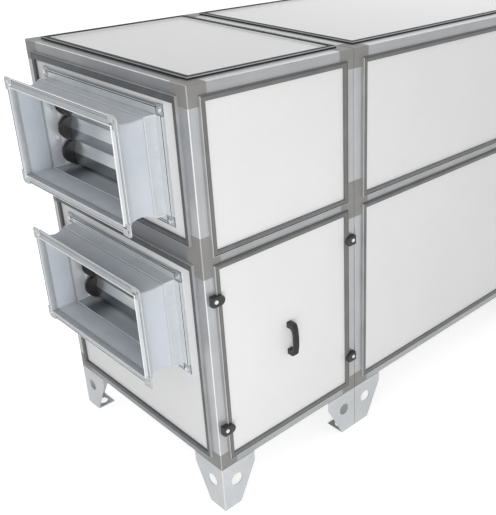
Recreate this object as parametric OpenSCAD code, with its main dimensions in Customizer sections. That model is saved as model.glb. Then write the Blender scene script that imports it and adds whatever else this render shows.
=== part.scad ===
// Two-tier air handling unit: three framed modules on sheet feet,
// with damped flexible duct connectors on both ends.

/* [Casing] */
// Height of the frame, from the underside of the bottom rail to the top rail
frame_h = 1300; // [1200:5:1500]
// Depth of the casing, from the service side to the back
body_w = 905; // [860:5:1100]
// Length of each end module
end_len = 642; // [560:2:900]
// Length of the middle module
mid_len = 1284; // [700:4:1800]
// Height of the upper tier's opening, between the middle and the top rail
upper_tier_h = 481; // [470:1:560]
// Thickness of the seal between two modules
seal_t = 2; // [1:0.5:4]
// Setback of the seal behind the faces of the frame
seal_setback = 4; // [2:0.5:8]

/* [Frame profile] */
// Width of a post on the service side
post_w = 36; // [30:1:45]
// Width of a post on the duct side
post_d = 44; // [36:1:55]
// Height of the top and bottom rails
rail_h = 34; // [30:1:42]
// Height of the middle rail on the service side and the back
mid_h = 28; // [22:1:36]
// Height of the middle rail across each end
end_mid_h = 59.5; // [45:0.5:70]
// Radius of the outer edges of the profile
edge_r = 3; // [1:0.5:5]
// Reach of a corner block along each profile
block_reach = 30; // [20:1:45]
// Reach of a middle block beyond the end's middle rail, up and down its post
mid_block_reach = 38; // [25:1:60]

/* [Panels] */
// Setback of a panel's inner skin from the inner side of the profile
panel_setback = 4; // [2:1:8]
// Play between a panel and the profile round it
panel_gap = 0.5; // [0.2:0.1:0.8]
// Width of the trim that frames a panel
trim_w = 17; // [14:0.5:22]
// Thickness of the trim's flat
trim_t = 7; // [5:0.5:8]
// Width of the trim's raised rib
rib_w = 8; // [4:0.5:12]
// Height of the rib above the trim's flat
rib_t = 2; // [1:0.5:3]

/* [Service panel fittings] */
// Drop of the upper clamps below the top of the service panel
clamp_top_drop = 113; // [80:1:180]
// Rise of the lower clamps above the foot of the service panel
clamp_foot_rise = 129; // [80:1:180]
// Distance of a clamp's screw from the edge of the panel opening
clamp_inset = 11; // [8:0.5:16]
// Radius of the clamp's round end, half its height
clamp_r = 17; // [14:0.5:24]
// Length of the clamp from its screw to the tip of its round end
clamp_nose = 32; // [26:1:36]
// Length of the clamp from its screw to its straight end
clamp_tail = 13; // [10:0.5:16]
// Width of the notch in the clamp's underside, over the edge of the trim
clamp_notch_w = 7; // [4:0.5:8]
// Height of the notch in the clamp's underside
clamp_notch_h = 13; // [11:0.5:15]
// Height of the clamp above the post
clamp_t = 21; // [16:1:28]
// Radius of the recess for the clamp's screw head
clamp_recess_r = 7; // [5:0.5:9]
// Depth of the screw head's recess
clamp_recess_d = 6; // [3:0.5:9]
// Overall length of the handle
handle_len = 126; // [100:1:150]
// Width of the handle's grip
handle_w = 22; // [16:1:30]
// Reach of the handle out from the panel
handle_reach = 40; // [32:1:55]
// Thickness of the handle's grip
handle_t = 12; // [8:0.5:16]
// Height of each of the handle's legs
handle_leg = 21; // [16:1:28]
// Radius of the handle's shoulders
handle_round = 13; // [8:1:16]
// Bow of the grip, from its ends to its middle
handle_bow = 8; // [4:0.5:12]
// Drop of the handle's middle below the middle of the service panel
handle_drop = 18; // [0:1:80]

/* [Feet] */
// Height of the feet
foot_h = 178; // [120:1:220]
// Thickness of the foot's sheet
foot_t = 3; // [2:0.5:5]
// Length of a foot's service-side wing at the top
wing_x = 140; // [120:1:170]
// Length of a foot's duct-side wing at the top
wing_y = 150; // [125:1:180]
// Width of the foot's base along the service side
base_x = 70; // [60:1:85]
// Width of the foot's base along the duct side
base_y = 80; // [64:1:95]
// Height of the straight part at the top of a wing
wing_drop = 38; // [20:1:60]
// Diameter of the hole in each wing
wing_hole_d = 46; // [20:1:50]
// Drop of the wing hole's centre below the frame
wing_hole_drop = 71; // [55:1:80]
// Distance of the wing hole's centre from the corner
wing_hole_x = 58; // [40:1:65]
// Diameter of the anchor hole in the base
anchor_d = 40; // [14:1:44]
// Distance of the anchor hole from the corner, along the service side
anchor_x = 38; // [32:1:44]
// Distance of the anchor hole from the corner, along the duct side
anchor_y = 44; // [36:1:52]
// Width of the flange that bolts up under the frame
foot_flange = 40; // [25:1:60]

/* [Duct connectors] */
// Inner width of the collars and dampers
duct_w = 608; // [500:2:640]
// Inner height of the collars and dampers
duct_h = 298; // [290:1:310]
// Wall of the sheet collar, damper frame and flange lip
sheet_t = 2; // [1.5:0.5:3]
// Thickness of the flange plates
flange_t = 3; // [2:0.5:5]
// Width of the casing flange round the collar
casing_flange = 35; // [28:1:40]
// Width of the mouth flange round its opening
mouth_flange = 35; // [30:1:40]
// Drop of the upper connector's centre below the top of its tier
upper_drop = 223; // [212:1:232]
// Drop of the lower connector's centre below the top of its tier
lower_drop = 235; // [212:1:260]
// Length of the metal collar outside the casing
collar_len = 47; // [30:1:70]
// Length of the canvas sleeve between collar and mouth flange
sleeve_len = 96; // [60:1:150]
// Thickness of the canvas
canvas_t = 2; // [1:0.5:3]
// Width by which the mouth is drawn in from the collar
draw_in_w = 18; // [14:1:24]
// Height by which the mouth is drawn in from the collar
draw_in_h = 10; // [8:1:16]
// Depth of the waist that the canvas pulls into between its ends
waist = 5; // [2:0.5:8]
// Length of the lip that the canvas is drawn over
lip_len = 20; // [10:1:30]
// Play between the canvas and the lip
lip_gap = 0.5; // [0.3:0.1:0.8]
// Radius of the mouth flange's corners
flange_corner_r = 14; // [8:1:20]
// Diameter of the flange's corner holes
flange_hole_d = 11; // [8:0.5:14]
// Distance of the corner holes from the flange's edges
flange_hole_inset = 17; // [14:0.5:20]

/* [Dampers] */
// Number of blades in a damper
blade_count = 3; // [3:1:3]
// Distance between blade axes
blade_pitch = 84; // [76:1:88]
// Gap between the edges of closed blades
blade_gap = 5.4; // [5:0.1:8]
// Lean of a closed blade, its lower edge towards the mouth
blade_lean = 6; // [4:0.5:8]
// Thickness of a blade at its ridge
blade_t = 14; // [8:0.5:20]
// Thickness of a blade at its edges
blade_edge_t = 3; // [2:0.5:5]
// Depth of the damper frame behind the end of the casing
damper_depth = 74; // [72:1:90]
// Distance of the blade axes behind the end of the casing
blade_x = 28; // [24:0.5:30]
// Running gap between the damper's frame and what turns in it
damper_gap = 5.2; // [5:0.1:8]
// Thickness of the drive gears
gear_t = 20; // [12:1:26]
// Setback of the gears from the damper's side wall
gear_setback = 17; // [6:1:40]
// Number of teeth on a drive gear
gear_teeth = 56; // [48:4:64]
// Height of a tooth above the pitch circle
tooth_tip = 0.9; // [0.7:0.1:1.1]
// Depth of a tooth space below the pitch circle
tooth_root = 1.4; // [1.2:0.1:1.7]
// Play between meshing teeth, along the pitch circle
tooth_play = 0.5; // [0.4:0.1:0.7]
// Slope of a tooth's flank
tooth_angle = 20; // [14:1:25]
// Radius of the blade's pins
pin_r = 5; // [4:0.5:8]
// Radial play of a pin in the damper's frame
pin_play = 0.05; // [0.02:0.01:0.1]

/* [Hidden] */
$fn = 48;
// Overall length of the three modules and the seals between them
total_len = 2 * (end_len + seal_t) + mid_len;
// Start and length of each module along the casing
left_module = [-total_len / 2, end_len];
middle_module = [-mid_len / 2, mid_len];
right_module = [mid_len / 2 + seal_t, end_len];
modules = [left_module, middle_module, right_module];
end_modules = [left_module, right_module];
// Sides of the casing
front_y = -body_w / 2;
// Thickness of the sandwich panels, set back inside the profile
panel_t = min(post_w, rail_h) - panel_setback;
// Height of the middle rails' underside above the underside of the frame
mid_z = frame_h - rail_h - upper_tier_h - mid_h;
// Heights of the two tiers' openings, and of the upper one at the ends
lower_tier = [rail_h, mid_z];
upper_tier = [mid_z + mid_h, frame_h - rail_h];
tiers = [lower_tier, upper_tier];
end_upper_tier = [mid_z + end_mid_h, frame_h - rail_h];
// Heights of the two connectors' centres
upper_z = upper_tier[1] - upper_drop;
lower_z = lower_tier[1] - lower_drop;
// Thickness of the whole trim, which the clamps bridge
trim_total = trim_t + rib_t;
// Outside of the collar, and of the damper's frame behind it
collar_w = duct_w + 2 * sheet_t;
collar_h = duct_h + 2 * sheet_t;
// Opening at the mouth, and the lip round it
mouth_w = duct_w - draw_in_w;
mouth_h = duct_h - draw_in_h;
lip_w = mouth_w + 2 * sheet_t;
lip_h = mouth_h + 2 * sheet_t;
// Outside of the canvas where it meets the mouth flange
canvas_w = lip_w + 2 * (lip_gap + canvas_t);
canvas_h = lip_h + 2 * (lip_gap + canvas_t);
// Overall sizes of the two flanges
casing_flange_w = collar_w + 2 * casing_flange;
casing_flange_h = collar_h + 2 * casing_flange;
mouth_flange_w = mouth_w + 2 * mouth_flange;
mouth_flange_h = mouth_h + 2 * mouth_flange;
// Distance of the mouth's outer face from the casing
connector_len = collar_len + sleeve_len + flange_t;
// Length of canvas that hangs free, short of the lip that it is drawn over
canvas_free = sleeve_len - lip_len;
// Stages in which the canvas's curve is drawn
canvas_steps = 6;
// Blade and gear sizes
blade_chord = blade_pitch - blade_gap;
pitch_r = blade_pitch / 2;
gear_tip_r = pitch_r + tooth_tip;
gear_root_r = pitch_r - tooth_root;
tooth_half = PI * pitch_r / gear_teeth / 2 - tooth_play / 4;
// Lowest blade axis, measured from the connector's centre
first_blade_z = -duct_h / 2 + damper_gap + gear_tip_r;
blade_set = [for (i = [0 : blade_count - 1]) first_blade_z + i * blade_pitch];
// Underside of the damper's top rail, over the uppermost gear
damper_top_z = blade_set[blade_count - 1] + gear_tip_r + damper_gap;
// Ends of the blades and gears across the duct
gear_end_y = duct_w / 2 - gear_setback;
gear_face_y = gear_end_y - gear_t;
blade_start_y = -duct_w / 2 + damper_gap;
blade_len = gear_face_y - damper_gap - blade_start_y;
pin_end_y = collar_w / 2;
end_x = -total_len / 2;

aluminium = "#a9adb0";
block_grey = "#94928f";
seal_black = "#2c2c2d";
panel_white = "#e6e7e8";
trim_grey = "#6e6e6c";
zinc = "#bfc4c7";
canvas_blue = "#bcc3cb";
black_plastic = "#333436";
blade_metal = "#a2a6aa";

// Placing

// Moves a module's own frame, with its start at x = 0, to its place
module at_module(m) {
    translate([m[0], 0, foot_h]) children();
}

// Repeats a piece at a module's four corners, with x and y pointing inwards
module at_corners(len) {
    for (sx = [0, 1], sy = [0, 1])
        translate([sx * len, (2 * sy - 1) * body_w / 2, 0])
            mirror([sx, 0, 0])
                mirror([0, sy, 0])
                    children();
}

// Repeats a piece on the service side and at the back
module front_and_back() {
    children();
    mirror([0, 1, 0]) children();
}

// Turns an outline drawn in depth and height to run along the length
module along_x(len) {
    rotate([90, 0, 90]) linear_extrude(len) children();
}

// Turns an outline drawn in length and height to run along the depth
module along_y(len) {
    translate([0, len, 0]) rotate([90, 0, 0]) linear_extrude(len) children();
}

// Repeats a left-end piece at the right end
module at_right_end() {
    mirror([1, 0, 0]) children();
}

// Moves a connector's own frame, centred on the duct, to the left end of a tier
module at_connector(z) {
    translate([end_x, 0, foot_h + z]) children();
}

// Profile frame

// Profile section with its outer edge at the origin
module section(w, d, r = edge_r) {
    translate([r, 0]) square([w - r, d]);
    translate([0, r]) square([w, d - r]);
    translate([r, r]) circle(r);
}

module frame_bars(len) {
    x_end = post_w + block_reach;
    y_end = post_d + block_reach;
    z_low = rail_h + block_reach;
    block_low = mid_z - mid_block_reach;
    block_top = mid_z + end_mid_h + mid_block_reach;
    bar_x = len - 2 * x_end;
    bar_y = body_w - 2 * y_end;
    at_corners(len) {
        translate([0, 0, z_low])
            linear_extrude(block_low - z_low) section(post_w, post_d);
        translate([0, 0, block_top])
            linear_extrude(frame_h - z_low - block_top) section(post_w, post_d);
    }
    front_and_back() translate([x_end, front_y, 0]) {
        along_x(bar_x) section(post_d, rail_h);
        translate([0, 0, mid_z]) along_x(bar_x) square([post_d, mid_h]);
        translate([0, 0, frame_h]) along_x(bar_x) mirror([0, 1]) section(post_d, rail_h);
    }
    for (s = [0, 1])
        translate([s * len, -bar_y / 2, 0]) mirror([s, 0, 0]) {
            along_y(bar_y) section(post_w, rail_h);
            translate([0, 0, mid_z]) along_y(bar_y) square([post_w, end_mid_h]);
            translate([0, 0, frame_h]) along_y(bar_y) mirror([0, 1]) section(post_w, rail_h);
        }
}

module left_frame() {
    color(aluminium) at_module(left_module) frame_bars(end_len);
}

module middle_frame() {
    color(aluminium) at_module(middle_module) frame_bars(mid_len);
}

module right_frame() {
    color(aluminium) at_module(right_module) frame_bars(end_len);
}

// Three-way corner block at a bottom corner, x, y and z pointing inwards
module corner_block() {
    intersection() {
        linear_extrude(rail_h) section(post_w, post_d);
        along_x(post_w) section(post_d, rail_h);
        along_y(post_d) section(post_w, rail_h);
    }
    translate([post_w, 0, 0]) along_x(block_reach) section(post_d, rail_h);
    translate([0, post_d, 0]) along_y(block_reach) section(post_w, rail_h);
    translate([0, 0, rail_h]) linear_extrude(block_reach) section(post_w, post_d);
}

// Block where the middle rails meet a post, drawn from the rails' underside
module middle_block() {
    translate([0, 0, -mid_block_reach])
        linear_extrude(end_mid_h + 2 * mid_block_reach) section(post_w, post_d);
    translate([post_w, 0, 0]) along_x(block_reach) square([post_d, mid_h]);
    translate([0, post_d, 0]) along_y(block_reach) square([post_w, end_mid_h]);
}

module corner_blocks() {
    color(block_grey)
        for (m = modules)
            at_module(m) at_corners(m[1]) {
                corner_block();
                translate([0, 0, mid_z]) middle_block();
                translate([0, 0, frame_h]) mirror([0, 0, 1]) corner_block();
            }
}

// Foam seal between two modules, set back behind the faces of the frame
module module_seals() {
    w = body_w - 2 * seal_setback;
    h = frame_h - 2 * seal_setback;
    hole_w = body_w - 2 * post_d;
    hole_h = frame_h - 2 * rail_h;
    color(seal_black)
        for (x = [-mid_len / 2 - seal_t, mid_len / 2])
            translate([x, 0, foot_h]) along_x(seal_t) difference() {
                translate([-w / 2, seal_setback]) square([w, h]);
                translate([-hole_w / 2, rail_h]) square([hole_w, hole_h]);
            }
}

// Panels

// Front panel that fills one tier's opening
module front_panel(m, tier) {
    w = m[1] - 2 * (post_w + panel_gap);
    h = tier[1] - tier[0] - 2 * panel_gap;
    at_module(m)
        translate([post_w + panel_gap, front_y, tier[0] + panel_gap])
            cube([w, panel_t, h]);
}

module left_upper_front_panel() {
    color(panel_white) front_panel(left_module, upper_tier);
}

module left_service_panel() {
    color(panel_white) front_panel(left_module, lower_tier);
}

module middle_front_panels() {
    color(panel_white) for (tier = tiers) front_panel(middle_module, tier);
}

module right_front_panels() {
    color(panel_white) for (tier = tiers) front_panel(right_module, tier);
}

module back_panels() {
    color(panel_white) mirror([0, 1, 0])
        for (m = modules, tier = tiers) front_panel(m, tier);
}

// Level slab between a module's rails
module level_slab(m, z, t) {
    w = m[1] - 2 * (post_w + panel_gap);
    d = body_w - 2 * (post_d + panel_gap);
    at_module(m) translate([post_w + panel_gap, -d / 2, z]) cube([w, d, t]);
}

module top_panels() {
    color(panel_white) for (m = modules) level_slab(m, frame_h - panel_t, panel_t);
}

module floor_panels() {
    color(panel_white) for (m = modules) level_slab(m, 0, panel_t);
}

module tier_floors() {
    color(panel_white) for (m = modules) level_slab(m, mid_z, mid_h);
}

// End panel of one tier, cut out round the damper that it holds
module end_panel(tier, z) {
    w = body_w - 2 * (post_d + panel_gap);
    h = tier[1] - tier[0] - 2 * panel_gap;
    cut_w = collar_w + 2 * panel_gap;
    cut_h = collar_h + 2 * panel_gap;
    translate([end_x, 0, foot_h])
        along_x(panel_t)
            difference() {
                translate([-w / 2, tier[0] + panel_gap]) square([w, h]);
                translate([-cut_w / 2, z - cut_h / 2]) square([cut_w, cut_h]);
            }
}

module end_panels() {
    end_panel(end_upper_tier, upper_z);
    end_panel(lower_tier, lower_z);
}

module left_end_panels() {
    color(panel_white) end_panels();
}

module right_end_panels() {
    color(panel_white) at_right_end() end_panels();
}

// Flat frame of the given outer size and width
module ring(w, h, wide) {
    difference() {
        square([w, h]);
        translate([wide, wide]) square([w - 2 * wide, h - 2 * wide]);
    }
}

// Trim that frames an opening: a flat with a rib along its inner edge
module trim(w, h) {
    linear_extrude(trim_t) ring(w, h, trim_w);
    translate([trim_w - rib_w, trim_w - rib_w, 0])
        linear_extrude(trim_total) ring(w - 2 * (trim_w - rib_w), h - 2 * (trim_w - rib_w), rib_w);
}

module panel_trims() {
    d = body_w - 2 * post_d;
    color(trim_grey) {
        for (m = modules) at_module(m) {
            w = m[1] - 2 * post_w;
            front_and_back()
                for (tier = tiers)
                    translate([post_w, front_y, tier[0]]) rotate([90, 0, 0]) trim(w, tier[1] - tier[0]);
            translate([post_w, -d / 2, frame_h]) trim(w, d);
        }
        for (s = [0, 1])
            mirror([s, 0, 0])
                for (tier = [lower_tier, end_upper_tier])
                    translate([end_x, -d / 2, foot_h + tier[0]])
                        mirror([1, 0, 0]) rotate([90, 0, 90]) trim(d, tier[1] - tier[0]);
    }
}

// Service panel fittings

// Side view of a bridge that stands out from a panel: a bowed crown on two legs with rounded shoulders
module bridge(half, reach, rise) {
    // Circle through the ends and the middle of the crown
    r = (half * half + rise * rise) / (2 * rise);
    intersection() {
        offset(r = handle_round) offset(delta = -handle_round) intersection() {
            translate([r - reach, 0]) circle(r, $fn = 4 * $fn);
            translate([-reach, -half]) square([2 * reach, 2 * half]);
        }
        translate([-reach, -half]) square([reach, 2 * half]);
    }
}

// Bridge handle standing out from a panel, centred on its middle
module handle() {
    half = handle_len / 2;
    rotate([90, 0, 90])
        translate([0, 0, -handle_w / 2])
            linear_extrude(handle_w)
                difference() {
                    bridge(half, handle_reach, handle_bow);
                    translate([handle_t, 0])
                        bridge(half - handle_leg, handle_reach, handle_bow / 2);
                }
}

module service_handles() {
    handle_z = (lower_tier[0] + lower_tier[1]) / 2 - handle_drop;
    color(black_plastic)
        for (m = end_modules)
            at_module(m) translate([m[1] / 2, front_y, handle_z]) handle();
}

// Turn clamp with its screw at the origin and its round end along +x
module clamp() {
    round_x = clamp_nose - clamp_r;
    difference() {
        linear_extrude(clamp_t) {
            translate([-clamp_tail, -clamp_r]) square([clamp_tail + round_x, 2 * clamp_r]);
            translate([round_x, 0]) circle(clamp_r);
        }
        translate([0, 0, clamp_t - clamp_recess_d]) cylinder(r = clamp_recess_r, h = clamp_t);
        // Step that lets the round end bear on the trim, and the notch beside it
        translate([clamp_inset, -2 * clamp_r, -trim_total])
            cube([clamp_nose + clamp_r, 4 * clamp_r, 2 * trim_total]);
        translate([clamp_inset - clamp_notch_w / 2, -2 * clamp_r, -clamp_notch_h])
            cube([clamp_notch_w, 4 * clamp_r, 2 * clamp_notch_h]);
    }
}

module panel_clamps() {
    x = post_w - clamp_inset;
    heights = [lower_tier[0] + clamp_foot_rise, lower_tier[1] - clamp_top_drop];
    color(black_plastic)
        for (m = end_modules, z = heights, s = [0, 1])
            at_module(m)
                translate([s * m[1], front_y, z])
                    mirror([s, 0, 0])
                        translate([x, 0, 0]) rotate([90, 0, 0]) clamp();
}

// Feet

// Wing of a foot, drawn from the corner outwards and downwards
module wing(top, base, hole_x) {
    difference() {
        polygon([[0, 0], [top, 0], [top, -wing_drop], [base, -foot_h], [0, -foot_h]]);
        translate([hole_x, -wing_hole_drop]) circle(d = wing_hole_d);
    }
}

module foot() {
    along_y(foot_t) wing(wing_x, base_x, wing_hole_x);
    along_x(foot_t) wing(wing_y, base_y, wing_hole_x);
    translate([0, 0, -foot_h]) linear_extrude(foot_t)
        difference() {
            square([base_x, base_y]);
            translate([anchor_x, anchor_y]) circle(d = anchor_d);
        }
    translate([0, 0, -foot_t]) linear_extrude(foot_t) {
        square([wing_x, foot_flange]);
        square([foot_flange, wing_y]);
    }
}

module feet() {
    color(zinc) for (m = modules) at_module(m) at_corners(m[1]) foot();
}

// Duct connectors, drawn on the left end with the duct along x

// Rectangle centred on the duct, in depth and height
module duct_square(w, h) {
    translate([-w / 2, -h / 2]) square([w, h]);
}

// Collar with its flange against the end panel
module collar() {
    translate([-collar_len, 0, 0]) along_x(collar_len) difference() {
        duct_square(collar_w, collar_h);
        duct_square(duct_w, duct_h);
    }
    translate([-flange_t, 0, 0]) along_x(flange_t) difference() {
        duct_square(casing_flange_w, casing_flange_h);
        duct_square(duct_w, duct_h);
    }
}

// Corners of the canvas's outer or inner skin at a distance from the collar
function canvas_corners(x, inset) =
    let (t = min(1, x / canvas_free),
        drawn = waist * sin(180 * t) + inset,
        w = (collar_w + t * (canvas_w - collar_w)) / 2 - drawn,
        h = (collar_h + t * (canvas_h - collar_h)) / 2 - drawn)
    [for (c = [[-1, -1], [1, -1], [1, 1], [-1, 1]]) [-collar_len - x, c[0] * w, c[1] * h]];

// Canvas sleeve drawn in from the collar to the mouth, with a waist between
module sleeve() {
    stations = [for (i = [0 : canvas_steps]) i / canvas_steps * canvas_free, sleeve_len];
    last = len(stations) - 1;
    rings = [for (x = stations) canvas_corners(x, 0),
        for (i = [last : -1 : 0]) canvas_corners(stations[i], canvas_t)];
    count = len(rings);
    points = [for (r = rings) each r];
    // Each ring joins the next, and the last joins the first
    faces = [for (i = [0 : count - 1], k = [0 : 3])
        let (n = (i + 1) % count, j = (k + 1) % 4)
        [i * 4 + k, i * 4 + j, n * 4 + j, n * 4 + k]];
    polyhedron(points, faces);
}

// Mouth flange with rounded corner plates, corner holes and a lip
module flange() {
    hole_y = mouth_flange_w / 2 - flange_hole_inset;
    hole_z = mouth_flange_h / 2 - flange_hole_inset;
    flat_w = mouth_flange_w - 2 * flange_corner_r;
    flat_h = mouth_flange_h - 2 * flange_corner_r;
    translate([-connector_len, 0, 0]) {
        along_x(flange_t) difference() {
            union() {
                duct_square(flat_w, mouth_flange_h);
                duct_square(mouth_flange_w, flat_h);
                for (sy = [-1, 1], sz = [-1, 1])
                    translate([sy * flat_w / 2, sz * flat_h / 2]) circle(flange_corner_r);
            }
            duct_square(mouth_w, mouth_h);
            for (sy = [-1, 1], sz = [-1, 1])
                translate([sy * hole_y, sz * hole_z]) circle(d = flange_hole_d);
        }
        along_x(flange_t + lip_len) difference() {
            duct_square(lip_w, lip_h);
            duct_square(mouth_w, mouth_h);
        }
    }
}

module left_upper_collar() {
    color(zinc) at_connector(upper_z) collar();
}

module left_lower_collar() {
    color(zinc) at_connector(lower_z) collar();
}

module right_collars() {
    color(zinc) at_right_end() for (z = [upper_z, lower_z]) at_connector(z) collar();
}

module left_upper_sleeve() {
    color(canvas_blue) at_connector(upper_z) sleeve();
}

module left_lower_sleeve() {
    color(canvas_blue) at_connector(lower_z) sleeve();
}

module right_sleeves() {
    color(canvas_blue) at_right_end() for (z = [upper_z, lower_z]) at_connector(z) sleeve();
}

module left_upper_flange() {
    color(zinc) at_connector(upper_z) flange();
}

module left_lower_flange() {
    color(zinc) at_connector(lower_z) flange();
}

module right_flanges() {
    color(zinc) at_right_end() for (z = [upper_z, lower_z]) at_connector(z) flange();
}

// Dampers

// Sheet frame with a deep top rail and a pin hole for each blade
module damper_frame() {
    top_h = duct_h / 2 - damper_top_z;
    difference() {
        union() {
            along_x(damper_depth) difference() {
                duct_square(collar_w, collar_h);
                duct_square(duct_w, duct_h);
            }
            translate([0, -duct_w / 2, damper_top_z]) cube([damper_depth, duct_w, top_h]);
        }
        for (z = blade_set)
            translate([blade_x, -collar_w, z]) rotate([-90, 0, 0])
                cylinder(r = pin_r + pin_play, h = 2 * collar_w);
    }
}

module upper_damper_frame() {
    color(zinc) at_connector(upper_z) damper_frame();
}

module lower_damper_frame() {
    color(zinc) at_connector(lower_z) damper_frame();
}

module right_damper_frames() {
    color(zinc) at_right_end() for (z = [upper_z, lower_z]) at_connector(z) damper_frame();
}

// Lens-shaped blade, closed, on pins that reach through the damper's frame
module blade(i) {
    half = blade_chord / 2;
    edge = blade_edge_t / 2;
    ridge = blade_t / 2;
    translate([blade_x, 0, blade_set[i]]) {
        translate([0, blade_start_y, 0]) along_y(blade_len) rotate(-blade_lean)
            polygon([[-edge, -half], [edge, -half], [ridge, 0], [edge, half], [-edge, half], [-ridge, 0]]);
        translate([0, -pin_end_y, 0]) rotate([-90, 0, 0]) cylinder(r = pin_r, h = 2 * pin_end_y);
    }
}

function polar(r, a) = [r * cos(a), r * sin(a)];

// Half the angle that a tooth fills at a radius
function tooth_half_angle(r) = (tooth_half - (r - pitch_r) * tan(tooth_angle)) / r * 180 / PI;

// Drive gear of a blade; neighbours stand half a tooth apart, so that they mesh
module gear(i) {
    step = 360 / gear_teeth;
    turn = (i % 2) * step / 2;
    root = tooth_half_angle(gear_root_r);
    tip = tooth_half_angle(gear_tip_r);
    outline = [for (k = [0 : gear_teeth - 1]) let (a = k * step + turn)
        each [polar(gear_root_r, a - root), polar(gear_tip_r, a - tip),
            polar(gear_tip_r, a + tip), polar(gear_root_r, a + root)]];
    translate([blade_x, gear_face_y, blade_set[i]]) along_y(gear_t) difference() {
        polygon(outline);
        circle(pin_r);
    }
}

module upper_blade_low() {
    color(blade_metal) at_connector(upper_z) blade(0);
}

module upper_blade_middle() {
    color(blade_metal) at_connector(upper_z) blade(1);
}

module upper_blade_high() {
    color(blade_metal) at_connector(upper_z) blade(2);
}

module upper_gear_low() {
    color(black_plastic) at_connector(upper_z) gear(0);
}

module upper_gear_middle() {
    color(black_plastic) at_connector(upper_z) gear(1);
}

module upper_gear_high() {
    color(black_plastic) at_connector(upper_z) gear(2);
}

module lower_blade_low() {
    color(blade_metal) at_connector(lower_z) blade(0);
}

module lower_blade_middle() {
    color(blade_metal) at_connector(lower_z) blade(1);
}

module lower_blade_high() {
    color(blade_metal) at_connector(lower_z) blade(2);
}

module lower_gear_low() {
    color(black_plastic) at_connector(lower_z) gear(0);
}

module lower_gear_middle() {
    color(black_plastic) at_connector(lower_z) gear(1);
}

module lower_gear_high() {
    color(black_plastic) at_connector(lower_z) gear(2);
}

// Repeats a damper's piece for each blade of the right end's two dampers
module right_blades() {
    color(blade_metal) at_right_end()
        for (z = [upper_z, lower_z], i = [0 : blade_count - 1]) at_connector(z) blade(i);
}

module right_gears() {
    color(black_plastic) at_right_end()
        for (z = [upper_z, lower_z], i = [0 : blade_count - 1]) at_connector(z) gear(i);
}

left_frame();
middle_frame();
right_frame();
corner_blocks();
module_seals();
feet();
left_upper_front_panel();
left_service_panel();
middle_front_panels();
right_front_panels();
back_panels();
top_panels();
floor_panels();
tier_floors();
left_end_panels();
right_end_panels();
panel_trims();
service_handles();
panel_clamps();
left_upper_collar();
left_lower_collar();
right_collars();
left_upper_sleeve();
left_lower_sleeve();
right_sleeves();
left_upper_flange();
left_lower_flange();
right_flanges();
upper_damper_frame();
lower_damper_frame();
right_damper_frames();
upper_blade_low();
upper_blade_middle();
upper_blade_high();
upper_gear_low();
upper_gear_middle();
upper_gear_high();
lower_blade_low();
lower_blade_middle();
lower_blade_high();
lower_gear_low();
lower_gear_middle();
lower_gear_high();
right_blades();
right_gears();
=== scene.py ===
import math

import bmesh
import bpy
from mathutils import Matrix, Vector, noise


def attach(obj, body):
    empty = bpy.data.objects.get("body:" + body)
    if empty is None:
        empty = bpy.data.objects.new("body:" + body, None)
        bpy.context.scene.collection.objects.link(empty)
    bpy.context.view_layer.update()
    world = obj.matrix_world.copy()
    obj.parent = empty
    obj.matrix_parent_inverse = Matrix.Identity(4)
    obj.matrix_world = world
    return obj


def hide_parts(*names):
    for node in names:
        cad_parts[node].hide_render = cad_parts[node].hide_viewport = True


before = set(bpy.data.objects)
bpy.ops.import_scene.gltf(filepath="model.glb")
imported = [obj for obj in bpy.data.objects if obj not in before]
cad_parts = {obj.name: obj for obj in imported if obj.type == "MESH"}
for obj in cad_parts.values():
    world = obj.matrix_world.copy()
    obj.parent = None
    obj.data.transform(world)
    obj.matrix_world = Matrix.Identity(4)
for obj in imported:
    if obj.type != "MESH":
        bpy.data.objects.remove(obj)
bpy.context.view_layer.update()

# Places on the unit, in metres
FRONT = 0.4525
END = 1.286
TOP = 1.478
MODULES = ((-1.286, -0.644), (-0.642, 0.642), (0.644, 1.286))
TIERS = ((0.212, 0.935), (0.963, 1.444))
END_TIERS = ((0.212, 0.935), (0.9945, 1.444))
POST_W = 0.036
POST_D = 0.044
# Middle and half height of the level bars of the frame: foot, between the tiers, top
RAIL_BANDS = ((0.195, 0.0172), (0.9648, 0.0300), (1.461, 0.0172))
DUCTS = {"upper": 1.221, "lower": 0.700}
BLADE_ROWS = ("low", "middle", "high")

# Duct connector, measured outwards from the end of the casing
COLLAR_LEN = 0.047
SLEEVE_LEN = 0.096
MOUTH_OUT = 0.146
COLLAR = (0.306, 0.151)
MOUTH = (0.295, 0.144)
CANVAS_END = (0.2995, 0.1485)
CASING_FLANGE = (0.341, 0.186)
MOUTH_FLANGE = (0.330, 0.179)
HOLE_INSET = 0.017

X = Vector((1, 0, 0))
Y = Vector((0, 1, 0))
Z = Vector((0, 0, 1))


# Shader building blocks

def tone(red, green, blue):
    """Linear colour of a tone given as 0 to 255."""
    return [((c / 255 + 0.055) / 1.055) ** 2.4 for c in (red, green, blue)] + [1]


def add(tree, kind, settings=None, **inputs):
    """Adds a shader node. Inputs go by name, or by number as i0, i1 and so on."""
    node = tree.nodes.new("ShaderNode" + kind)
    for key, value in (settings or {}).items():
        setattr(node, key, value)
    feed(tree, node, **inputs)
    return node


def feed(tree, node, **inputs):
    """Sets or links a node's inputs."""
    for key, value in inputs.items():
        number = key[1:]
        socket = node.inputs[int(number)] if number.isdigit() else node.inputs[key.replace("_", " ")]
        if isinstance(value, bpy.types.NodeSocket):
            tree.links.new(value, socket)
        else:
            socket.default_value = value


def calc(tree, operation, *values):
    """Result of a Math node."""
    inputs = {f"i{n}": value for n, value in enumerate(values)}
    return add(tree, "Math", {"operation": operation}, **inputs).outputs[0]


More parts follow.
